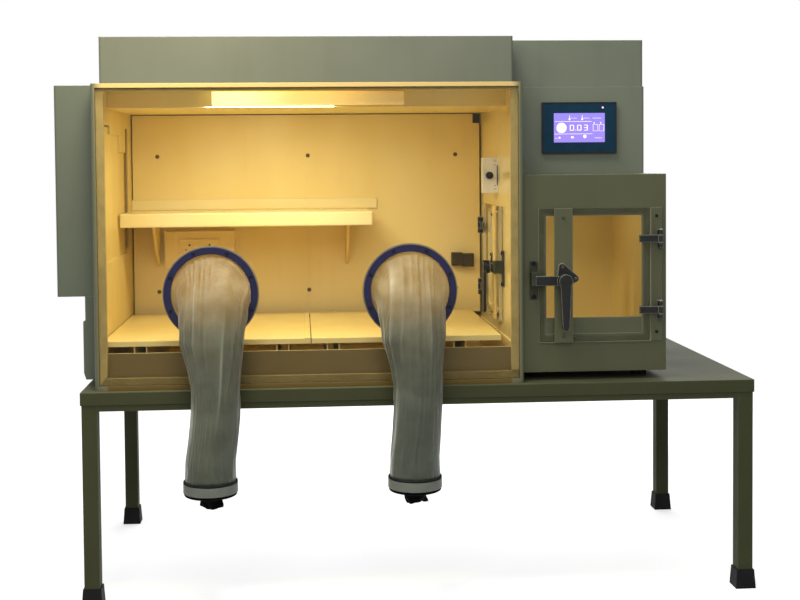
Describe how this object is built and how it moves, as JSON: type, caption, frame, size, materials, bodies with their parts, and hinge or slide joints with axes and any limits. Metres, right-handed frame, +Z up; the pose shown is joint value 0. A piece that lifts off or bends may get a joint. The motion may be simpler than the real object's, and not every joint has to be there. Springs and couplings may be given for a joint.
{
  "type": "laboratory glove box",
  "caption": "Glove box on a steel stand: lit chamber with clear window, glove ports with hanging sleeves, side housing, airlock with lever-latched doors, and screen control box.",
  "frame": {"origin": "on the floor, under the middle of the object's bounding box", "axes": "+X to the right seen from the front, along the stand; +Y to the back; +Z up"},
  "size_m": [1.5806, 0.821, 1.275],
  "materials": {
    "paint": "satin powder coat, grey-green",
    "cream": "satin cream paint",
    "rubber": "matt",
    "clear": "clear acrylic, polished",
    "film": "translucent soft film with folds",
    "flange": "pale plastic",
    "navy": "deep navy, satin",
    "dark_metal": "gunmetal",
    "fittings": "satin paint with gunmetal hinges",
    "cuff": "grey plastic",
    "white_plastic": "matt",
    "black_plastic": "matt black",
    "steel": "brushed",
    "lamp": "lit opal diffuser",
    "screen": "lit display"
  },
  "bodies": {
    "cabinet": {"stand_top": "paint", "stand_legs": "paint", "stand_rails": "paint", "stand_feet": "rubber", "chamber_base": "paint", "left_wall": "cream", "right_wall": "cream", "rear_wall_panel": "paint", "chamber_roof": "cream", "front_frame": "paint", "window_gasket": "rubber", "front_window": "clear", "port_flanges": "flange", "port_rings": "navy", "port_screws": "dark_metal", "sleeve_left": "film", "sleeve_right": "film", "cuff_rings": "cuff", "cuff_o_rings": "rubber", "wrist_cuffs": "rubber", "back_panel": "cream", "back_panel_fixings": "dark_metal", "lamp_base": "cream", "lamp_tube": "lamp", "lamp_diffuser": "lamp", "shelf": "cream", "shelf_rail": "cream", "shelf_brackets": "cream", "socket_box": "cream", "socket_plate": "white_plastic", "work_trays": "cream", "tray_bearers": "cream", "thermostat_body": "white_plastic", "sensor_blocks": "black_plastic", "side_housing": "paint", "lower_side_panel": "paint", "lower_side_cover": "paint", "fan_motor": "dark_metal", "catalyst_box": "steel", "canopy": "paint", "airlock_shell": "paint", "airlock_front": "paint", "airlock_feet": "rubber", "door_seals": "rubber", "hinge_strips": "paint", "hinge_pins": "dark_metal", "keepers": "dark_metal", "control_case": "paint", "control_top": "paint", "screen_bezel": "black_plastic", "screen": "screen", "rear_inlets": "black_plastic"},
    "outer_door": {"outer_door": "clear", "outer_door_fittings": "fittings"},
    "outer_lever": {"outer_lever": "dark_metal"},
    "inner_door": {"inner_door": "clear", "inner_door_fittings": "fittings"},
    "inner_lever": {"inner_lever": "dark_metal"},
    "thermostat_knob": {"thermostat_knob": "black_plastic"},
    "fan": {"fan_impeller": "white_plastic"}
  },
  "joints": [
    {"name": "outer_door_hinge", "type": "hinge", "parent": "cabinet", "child": "outer_door", "pos_m": [0.57875, -0.25695, 0.721], "axis": [0, 0, 1], "range_deg": [0, 110]},
    {"name": "outer_lever_turn", "type": "hinge", "parent": "outer_door", "child": "outer_lever", "pos_m": [0.35475, -0.25695, 0.71], "axis": [0, -1, 0], "range_deg": [0, 90]},
    {"name": "inner_door_hinge", "type": "hinge", "parent": "cabinet", "child": "inner_door", "pos_m": [0.23475, 0.23805, 0.732], "axis": [0, 0, -1], "range_deg": [0, 90]},
    {"name": "inner_lever_turn", "type": "hinge", "parent": "inner_door", "child": "inner_lever", "pos_m": [0.23475, 0.01405, 0.721], "axis": [1, 0, 0], "range_deg": [0, 90]},
    {"name": "thermostat_knob_turn", "type": "hinge", "parent": "cabinet", "child": "thermostat_knob", "pos_m": [0.22925, 0.03005, 0.947], "axis": [0, -1, 0], "range_deg": [-135, 135]},
    {"name": "fan_spin", "type": "hinge", "parent": "cabinet", "child": "fan", "pos_m": [-0.75475, 0.05955, 0.962], "axis": [1, 0, 0], "continuous": true}
  ]
}
